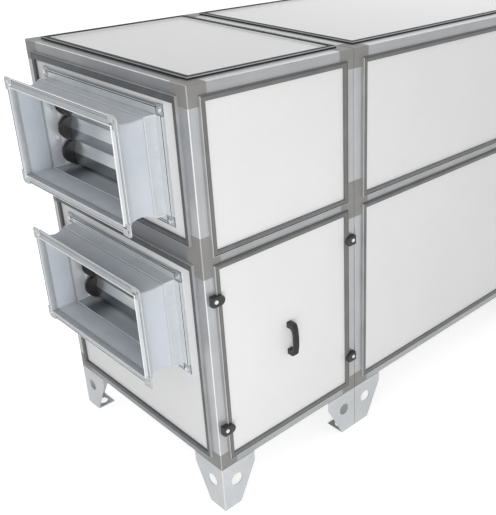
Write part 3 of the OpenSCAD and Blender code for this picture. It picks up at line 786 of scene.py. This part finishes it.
def clamp_places():
    for x, half, low_z, high_z in service_panels():
        for side in (-1, 1):
            flip = Matrix.Diagonal((-side, 1, 1, 1))
            for z in (low_z + CLAMP_RISE, high_z - CLAMP_DROP):
                yield facing((x + side * (half + CLAMP_OUT), -FRONT, z), X, Z) @ flip


def panel_clamps():
    bm = bmesh.new()
    stamp(bm, clamp_shape(), clamp_places())
    piece(bm, "turn_clamps", (BLACK,), ("panel_clamps",), sharp=35)
    bm = bmesh.new()
    stamp(bm, screw_shape(), [lifted(place, SCREW_SEAT) for place in clamp_places()])
    piece(bm, "clamp_screws", (SCREW,))
    bm = bmesh.new()
    recess = bmesh.new()
    bmesh.ops.create_cone(recess, cap_ends=True, segments=ROUND_SIDES, radius1=RECESS_R, radius2=RECESS_R,
                          depth=RECESS_THICK)
    stamp(bm, recess, [lifted(place, RECESS_MID) for place in clamp_places()])
    # Painted shade: the recess floors take the dark groove finish
    piece(bm, "clamp_recess_floors", (GROOVE_AND_SHADE,))


service_handles()
panel_clamps()


# Duct connectors, drawn from the end of the casing outwards along -x

def connector_place(side, level):
    return Matrix.Translation((side * END, 0, DUCTS[level])) @ Matrix.Diagonal((-side, 1, 1, 1))


def drawn_tube(half, radius, stations, cuts=0):
    """Tube with rounded edges, drawn through stations of (distance outwards, half width, half height)."""
    bm = bmesh.new()
    corners = [bm.verts.new((0, y, z)) for y, z in oblong(*half)]
    bm.faces.new(corners)
    round_off(bm, corners, radius, 4)
    bmesh.ops.delete(bm, geom=bm.faces[:], context="FACES_ONLY")
    if cuts:
        sides = [e for e in bm.edges if e.calc_length() > 4 * radius]
        bmesh.ops.subdivide_edges(bm, edges=sides, cuts=cuts)
    rim, verts = bm.edges[:], bm.verts[:]
    width, height = half
    for i, (out, new_w, new_h) in enumerate(stations):
        if i:
            grown = bmesh.ops.extrude_edge_only(bm, edges=rim)["geom"]
            verts = verts_of(grown)
            rim = [g for g in grown if isinstance(g, bmesh.types.BMEdge) and all(v in verts for v in g.verts)]
        bmesh.ops.scale(bm, vec=(1, new_w / width, new_h / height), verts=verts)
        bmesh.ops.translate(bm, vec=(-out - verts[0].co.x, 0, 0), verts=verts)
        width, height = new_w, new_h
    bmesh.ops.recalc_face_normals(bm, faces=bm.faces)
    return bm


# Canvas: steps along it and cuts across its sides, rounding of its edges, length held in the mouth flange
CANVAS_STEPS = 14
CANVAS_CUTS = 40
CANVAS_ROUND = 0.004
CANVAS_HELD = 0.020
CANVAS_THICK = 0.0012
MOUTH_GAP = 0.001
# How far the canvas is drawn in: all over, at its edges, by creases and by ripples
DRAWN_IN = 0.0035
EDGE_IN = 0.0055
CREASE_IN = 0.0020
RIPPLE_IN = 0.0007
# Reach of the edges, and depth within which a vert belongs to a side
EDGE_REACH = 0.07
SIDE_DEPTH = 0.03


def folds_at(place, along, around, shift):
    """Smooth noise, from -1 to 1, with its own pitch along the canvas and around it."""
    return noise.noise(Vector((place.x * along, place.y * around, place.z * around + shift)))


def canvas_sleeve():
    """Canvas drawn in between collar and mouth, more at its edges than on its sides, with soft creases."""
    free = SLEEVE_LEN - CANVAS_HELD
    stations = []
    for i in range(CANVAS_STEPS + 1):
        t = i / CANVAS_STEPS
        pull = DRAWN_IN * math.sin(math.pi * t)
        stations.append((COLLAR_LEN + free * t,
                         COLLAR[0] + (CANVAS_END[0] - COLLAR[0]) * t - pull,
                         COLLAR[1] + (CANVAS_END[1] - COLLAR[1]) * t - pull))
    stations.append((COLLAR_LEN + SLEEVE_LEN - MOUTH_GAP, *CANVAS_END))
    bm = drawn_tube(COLLAR, CANVAS_ROUND, stations, cuts=CANVAS_CUTS)
    for v in bm.verts:
        t = min(1, (-v.co.x - COLLAR_LEN) / free)
        off_edge = abs(abs(v.co.y) - COLLAR[0]) + abs(abs(v.co.z) - COLLAR[1])
        edge = max(0.0, 1 - off_edge / EDGE_REACH)
        crease = folds_at(v.co, 9, 11, 3)
        ripple = folds_at(v.co, 40, 26, 7)
        inward = math.sin(math.pi * t) * (EDGE_IN * edge * edge + CREASE_IN * crease + RIPPLE_IN * ripple)
        v.co.y -= math.copysign(inward, v.co.y) if abs(v.co.y) > COLLAR[0] - SIDE_DEPTH else 0
        v.co.z -= math.copysign(inward, v.co.z) if abs(v.co.z) > COLLAR[1] - SIDE_DEPTH else 0
    return bm


def canvas_sleeves(name, places, node):
    for i, place in enumerate(places):
        bm = bmesh.new()
        stamp(bm, canvas_sleeve(), [place])
        sleeve = piece(bm, f"{name}_{i}", (CANVAS,), (node,), sharp=60)
        wall = sleeve.modifiers.new("thickness", "SOLIDIFY")
        wall.thickness = CANVAS_THICK
        wall.offset = -1


# Section of the mouth flange from its outer rim: rim with a painted highlight, gap in painted shade, face
# that rises inwards and is painted lighter on its inner part, bead and lip with a painted highlight
MOUTH_STEPS = (
    (0.0004, 0.0050, FLAT), (0.0026, 0.0004, EDGE_HIGHLIGHT), (0.0006, -0.0016, GAP_SHADE), (0.0012, 0.0, GAP_SHADE),
    (0.0006, 0.0014, FLAT), (0.0048, 0.0008, FLAT), (0.0010, 0.0008, GAP_SHADE), (0.0132, 0.0024, UPRIGHT),
    (0.0006, -0.0006, FLAT), (0.0008, 0.0, GAP_SHADE), (0.0006, 0.0014, EDGE_HIGHLIGHT), (0.0016, 0.0006, EDGE_HIGHLIGHT),
    (0.0012, -0.0003, EDGE_HIGHLIGHT), (0.0006, -0.0010, FLAT), (0.0002, -0.0200, FLAT),
)
# Mouth flange: rim inside the corner plates, level of the rim, width of bead and lip, thickness
RAIL_INSET = 0.004
RIM_LEVEL = -0.0106
BEAD_W = 0.0128
MOUTH_SHEET = 0.0015
# Corner plate: arms, part of them that the rails leave free, rounding, hole, thickness and level
PLATE_REACH = 0.044
PLATE_ARM = 0.0225
PLATE_FREE = 0.040
PLATE_ROUND = 0.014
PLATE_HOLE_R = 0.0055
PLATE_THICK = 0.0026
PLATE_SOFT = 0.0007
PLATE_LEVEL = -0.0050
# Least lean of a softened edge
SOFT_LEAN = 0.1


def corner_plate():
    """Plate over a flange corner: two arms, a round outer corner at 0, 0, and a bolt hole."""
    bm = bmesh.new()
    reach, arm = PLATE_REACH, PLATE_ARM
    outline = [bm.verts.new((x, y, 0)) for x, y in
               ((0, 0), (reach, 0), (reach, arm), (arm, arm), (arm, reach), (0, reach))]
    bm.faces.new(outline)
    round_off(bm, outline[:1], PLATE_ROUND, 8)
    pierce(bm, PLATE_HOLE_R, (HOLE_INSET, HOLE_INSET, 0), sides=24)
    top = raise_up(bm, Z * PLATE_THICK)
    soften(bm, [e for e in edges_among(bm, top) if e.calc_face_angle(0) > SHARP], PLATE_SOFT)
    # Painted highlight on the softened edges, in the edge finish
    for side in bm.faces:
        lean = abs(side.normal.z)
        side.material_index = PLATE if lean > LEVEL else EDGE_HIGHLIGHT if lean > SOFT_LEAN else FLAT
    return bm


def mouth_flange():
    """Mouth flange, facing +z: rails with a bead, cut away under the corner plates."""
    half_w, half_h = (m - RAIL_INSET for m in MOUTH_FLANGE)
    bm, _ = ridged_frame(half_w, half_h, MOUTH_STEPS, start_z=RIM_LEVEL)
    cut_w, cut_h = (m - PLATE_FREE for m in MOUTH_FLANGE)
    for co, no in (((cut_w, 0, 0), X), ((-cut_w, 0, 0), X), ((0, cut_h, 0), Y), ((0, -cut_h, 0), Y)):
        bmesh.ops.bisect_plane(bm, geom=bm.verts[:] + bm.edges[:] + bm.faces[:], plane_co=co, plane_no=no)
    under = []
    for face in bm.faces:
        at = face.calc_center_median()
        clear = abs(at.x) - MOUTH[0] > BEAD_W or abs(at.y) - MOUTH[1] > BEAD_W
        if abs(at.x) > cut_w and abs(at.y) > cut_h and clear:
            under.append(face)
    bmesh.ops.delete(bm, geom=under, context="FACES")
    # Painted shade: faces of the level rails that would take the lighter upright finish take the flat one
    for side in bm.faces:
        if side.material_index == UPRIGHT and abs(side.normal.y) > abs(side.normal.x):
            side.material_index = FLAT
    bmesh.ops.recalc_face_normals(bm, faces=bm.faces)
    if max(bm.faces, key=lambda f: f.calc_center_median().z).normal.z < 0:
        bmesh.ops.reverse_faces(bm, faces=bm.faces)
    bmesh.ops.solidify(bm, geom=bm.faces[:], thickness=MOUTH_SHEET)
    bmesh.ops.recalc_face_normals(bm, faces=bm.faces)
    plates = [Matrix.Translation((sx * MOUTH_FLANGE[0], sy * MOUTH_FLANGE[1], PLATE_LEVEL))
              @ Matrix.Diagonal((-sx, -sy, 1, 1)) for sx in (-1, 1) for sy in (-1, 1)]
    stamp(bm, corner_plate(), plates)
    return bm


def mouth_flanges(name, sides_and_levels, node):
    bm = bmesh.new()
    stamp(bm, mouth_flange(), [facing((side * (END + MOUTH_OUT), 0, DUCTS[level]), side * Y, Z)
                               for side, level in sides_and_levels])
    piece(bm, name, FLANGE_SET, (node,), sharp=35)


# Section of a casing flange's rail from the collar outwards: broad face, slit, strip. Each point is
# (across, height, finish of the side that follows), and the strip's own finish is left open
# The slit's dark gap finish is painted shade, and the edge finish a painted highlight
RAIL_SECTION = (
    (0.0004, 0.0000, UPRIGHT), (0.0004, 0.0042, UPRIGHT), (0.0012, 0.0050, UPRIGHT),
    (0.0206, 0.0050, UPRIGHT), (0.0214, 0.0042, GAP_SHADE), (0.0217, 0.0008, GAP_SHADE), (0.0243, 0.0008, GAP_SHADE),
    (0.0246, 0.0036, EDGE_HIGHLIGHT), (0.0266, 0.0036, None), (0.0328, 0.0030, PLATE), (0.0338, 0.0022, PLATE),
    (0.0338, 0.0000, None),
)
FLANGE_THICK = 0.003
# Square plates under the bolts: half width, thickness, rounding; level of the washers on them
SQUARE_HALF = 0.0165
SQUARE_THICK = 0.0024
SQUARE_SOFT = 0.0006
WASHER_LEVEL = 0.0022
# Washer and bolt head: radius, height, rounding; level of the head
WASHER = (0.0088, 0.0016)
WASHER_SOFT = 0.0004
BOLT_HEAD = (0.0075, 0.0055)
BOLT_HEAD_SOFT = 0.0009
BOLT_HEAD_LEVEL = 0.0015
# Painted highlights along the folds of the collars: size, rounding, middle of the outer and of the inner
# ones, inset of the latter
FOLD_SIZE = (0.039, 0.0032, 0.0032)
FOLD_SOFT = 0.0006
OUTER_FOLD = -0.0235
INNER_FOLD = -0.0215
FOLD_INSET = 0.0024


def rail_bar(length, strip):
    """Folded rail of the casing flange, along x, standing on z = 0, with the finish of its strip."""
    bm = bmesh.new()
    ends = [[bm.verts.new((x, y, z)) for y, z, _ in RAIL_SECTION] for x in (-length / 2, length / 2)]
    for i, (_, _, finish) in enumerate(RAIL_SECTION):
        j = (i + 1) % len(RAIL_SECTION)
        side = bm.faces.new((ends[0][i], ends[0][j], ends[1][j], ends[1][i]))
        side.material_index = strip if finish is None else finish
    for end in ends:
        bm.faces.new(end)
    bmesh.ops.recalc_face_normals(bm, faces=bm.faces)
    return bm


def flange_corner():
    """Square plate under a corner bolt, centred on it."""
    bm = prism(oblong(SQUARE_HALF, SQUARE_HALF), 0.0, SQUARE_THICK)
    rim = [e for e in bm.edges if min(v.co.z for v in e.verts) > SQUARE_THICK / 2]
    soften(bm, rim, SQUARE_SOFT)
    # Painted shade: the sides of the plate take the dark gap finish
    for side in bm.faces:
        side.material_index = FLAT if side.normal.z > LEVEL else GAP_SHADE
    return bm


def hex_bolt():
    """Flange bolt on its washer, standing on z = 0."""
    bm, rim = disc(*WASHER)
    soften(bm, rim, WASHER_SOFT)
    head, rim = disc(*BOLT_HEAD, low=BOLT_HEAD_LEVEL, sides=6)
    soften(head, rim, BOLT_HEAD_SOFT)
    stamp(bm, head, [Matrix()])
    return bm


def fold_highlight_bar():
    """Painted highlight along a fold of the collar's sheet: a bar in the edge finish, along x."""
    bm = bmesh.new()
    bmesh.ops.create_cube(bm, size=1, matrix=Matrix.Diagonal((*FOLD_SIZE, 1)))
    soften(bm, bm.edges[:], FOLD_SOFT)
    for side in bm.faces:
        side.material_index = EDGE_HIGHLIGHT
    return bm


def casing_flanges():
    """Rails and corner bolts on the casing flanges, and painted highlights along the folds of the collars, at
    both ends.
    """
    rails = bmesh.new()
    bolts = bmesh.new()
    folds = []
    quarter = Matrix.Rotation(-math.pi / 2, 4, "Z")
    bolt_w, bolt_h = (m - HOLE_INSET for m in CASING_FLANGE)
    for side in (-1, 1):
        for level in DUCTS:
            base = facing((side * (END + FLANGE_THICK), 0, DUCTS[level]), side * Y, Z)
            for turn in (-1, 1):
                above = Matrix.Diagonal((1, turn, 1, 1)) @ Matrix.Translation((0, COLLAR[1], 0))
                stamp(rails, rail_bar(2 * COLLAR[0], SHADED), [base @ above])
                beside = Matrix.Diagonal((turn, 1, 1, 1)) @ Matrix.Translation((COLLAR[0], 0, 0))
                stamp(rails, rail_bar(2 * COLLAR[1], UPRIGHT), [base @ beside @ quarter])
            corners = [base @ Matrix.Translation((sx * bolt_w, sy * bolt_h, 0))
                       for sx in (-1, 1) for sy in (-1, 1)]
            stamp(rails, flange_corner(), corners)
            stamp(bolts, hex_bolt(), [lifted(corner, WASHER_LEVEL) for corner in corners])
            at = connector_place(side, level)
            folds += [at @ Matrix.Translation((OUTER_FOLD, sy * COLLAR[0], sz * COLLAR[1]))
                      for sy in (-1, 1) for sz in (-1, 1)]
            folds += [at @ Matrix.Translation((INNER_FOLD, sy * (COLLAR[0] - FOLD_INSET),
                                               FOLD_INSET - COLLAR[1])) for sy in (-1, 1)]
    stamp(rails, fold_highlight_bar(), folds)
    piece(rails, "casing_flange_rails", FLANGE_SET)
    piece(bolts, "casing_flange_bolts", (BOLT,))


# Sections of the hem inside a collar and of the seam round it: out from the collar's end, out from its
# sides
HEM = ((-0.004, -0.0018), (-0.0035, -0.0034), (0.0006, -0.0034), (0.0010, -0.0022))
SEAM = ((-0.007, 0.0002), (-0.0062, 0.0013), (-0.001, 0.0014), (0.0004, 0.0002))
SEAM_ROUND = 0.003


def collar_seams():
    """Folded seam that grips the canvas at the end of each collar, and the hem inside it."""
    def ring(section):
        stations = [(COLLAR_LEN + out, COLLAR[0] + grown, COLLAR[1] + grown) for out, grown in section]
        return drawn_tube(COLLAR, SEAM_ROUND, stations)

    bm = bmesh.new()
    places = [connector_place(side, level) for side in (-1, 1) for level in DUCTS]
    stamp(bm, ring(HEM), places)
    # The hem takes a painted highlight on its level faces and painted shade on its upright ones
    painted_light, painted_shade = 1, 2
    for face in bm.faces:
        face.material_index = painted_light if abs(face.normal.z) > abs(face.normal.y) else painted_shade
    stamp(bm, ring(SEAM), places)
    piece(bm, "collar_seams", (ZINC, FLANGE_HIGHLIGHT, FLANGE_ZINC))


# Room left between a blade's end and its gear, least lean of the face that closes a blade, size of a seam
GEAR_ROOM = 0.0002
CLOSING = 0.99
WELD = 1e-6


def blade_ends():
    """Runs each damper blade up to the face of its gear."""
    sets = [(f"{level}_blade_{row}", f"{level}_gear_{row}", f"{level}_{row}_blade")
            for level in DUCTS for row in BLADE_ROWS]
    for blade, gear, body in sets + [("right_blades", "right_gears", "casing")]:
        gear_face = min(v.co.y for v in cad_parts[gear].data.vertices)
        bm = bmesh.new()
        bm.from_mesh(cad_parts[blade].data)
        bmesh.ops.remove_doubles(bm, verts=bm.verts, dist=WELD)
        bm.normal_update()
        rest = [f for f in bm.faces if f.normal.y < CLOSING or f.calc_center_median().y > gear_face]
        bmesh.ops.delete(bm, geom=rest, context="FACES")
        gap = gear_face - max(v.co.y for v in bm.verts)
        raise_up(bm, Y * (gap - GEAR_ROOM))
        piece(bm, f"{blade}_end", (BLADE,), body=body)


for level in DUCTS:
    canvas_sleeves(f"{level}_canvas", [connector_place(-1, level)], f"left_{level}_sleeve")
canvas_sleeves("right_canvas", [connector_place(1, level) for level in DUCTS], "right_sleeves")
for level in DUCTS:
    mouth_flanges(f"{level}_mouth_flange", ((-1, level),), f"left_{level}_flange")
mouth_flanges("right_mouth_flanges", [(1, level) for level in DUCTS], "right_flanges")
casing_flanges()
collar_seams()
blade_ends()


# Stage, light and camera

FLOOR_HALF = 30
FLOOR_GLOW = 0.63


def background_rays(tree):
    """1 for the rays that show the background: from the camera, off a gloss and through glass."""
    path = add(tree, "LightPath").outputs
    seen = calc(tree, "MAXIMUM", path["Is Camera Ray"], path["Is Glossy Ray"])
    return calc(tree, "MAXIMUM", seen, path["Is Transmission Ray"])


def floor():
    bm = bmesh.new()
    bmesh.ops.create_grid(bm, x_segments=1, y_segments=1, size=FLOOR_HALF)
    mesh = bpy.data.meshes.new("floor")
    bm.to_mesh(mesh)
    bm.free()
    obj = link("floor", mesh)
    material, tree, surface, _ = start(
        "pale_floor", Base_Color=tone(236, 236, 236), Roughness=0.9, Specular_IOR_Level=0.1)
    glow = calc(tree, "MULTIPLY", background_rays(tree), FLOOR_GLOW)
    feed(tree, surface, Emission_Color=(1, 1, 1, 1), Emission_Strength=glow)
    mesh.materials.append(material)


def studio_world(strength):
    """White world that shows at full strength and lights the unit at less."""
    world = bpy.data.worlds.new("studio")
    bpy.context.scene.world = world
    world.use_nodes = True
    tree = world.node_tree
    feed(tree, tree.nodes["Background"], Color=(1, 1, 1, 1),
         Strength=between(tree, background_rays(tree), strength, 1.0))


def soft_sun(name, direction, strength, angle):
    """Wide sun that shines from a direction."""
    lamp = bpy.data.lights.new(name, "SUN")
    lamp.energy = strength
    lamp.angle = math.radians(angle)
    link(name, lamp).rotation_euler = Vector(direction).to_track_quat("Z", "Y").to_euler()


def soft_box(name, target, direction, distance, power, size):
    """Large soft lamp that faces a point on the unit."""
    lamp = bpy.data.lights.new(name, "AREA")
    lamp.energy = power
    lamp.size = size
    obj = link(name, lamp)
    away = Vector(direction).normalized()
    obj.location = Vector(target) + away * distance
    obj.rotation_euler = away.to_track_quat("Z", "Y").to_euler()


def photo_camera():
    """Camera of the photo, solved on the corners of the casing."""
    lens = bpy.data.cameras.new("camera")
    lens.sensor_width = 36
    lens.lens = 54.91
    lens.shift_x = -0.2093
    lens.shift_y = -0.0320
    obj = link("camera", lens)
    heading, pitch = math.radians(43.36), math.radians(25.54)
    reach = math.cos(pitch)
    ahead = Vector((reach * math.cos(heading), reach * math.sin(heading), -math.sin(pitch)))
    obj.location = (-2.4555, -2.1701, 1.9975)
    obj.rotation_euler = ahead.to_track_quat("-Z", "Y").to_euler()
    bpy.context.scene.camera = obj


floor()
studio_world(0.54)
soft_box("key", (-END, -FRONT, 0.7), (-0.47, -0.84, 0.10), distance=4.6, power=84, size=2.0)
soft_box("bounce", (-END, -FRONT, 0.35), (-0.62, -0.78, 0.0), distance=1.5, power=3, size=0.6)
soft_box("mouths", (-END, 0.0, 0.95), (-1.0, -0.15, 0.6), distance=2.0, power=1.6, size=0.8)
soft_box("overhead", (0.9, 0.1, TOP), (0.1, 0.1, 1.0), distance=2.0, power=15, size=1.4)
soft_sun("fill", (0.6, 0.7, 0.4), strength=0.35, angle=80)
photo_camera()
bpy.context.scene.view_settings.view_transform = "Standard"
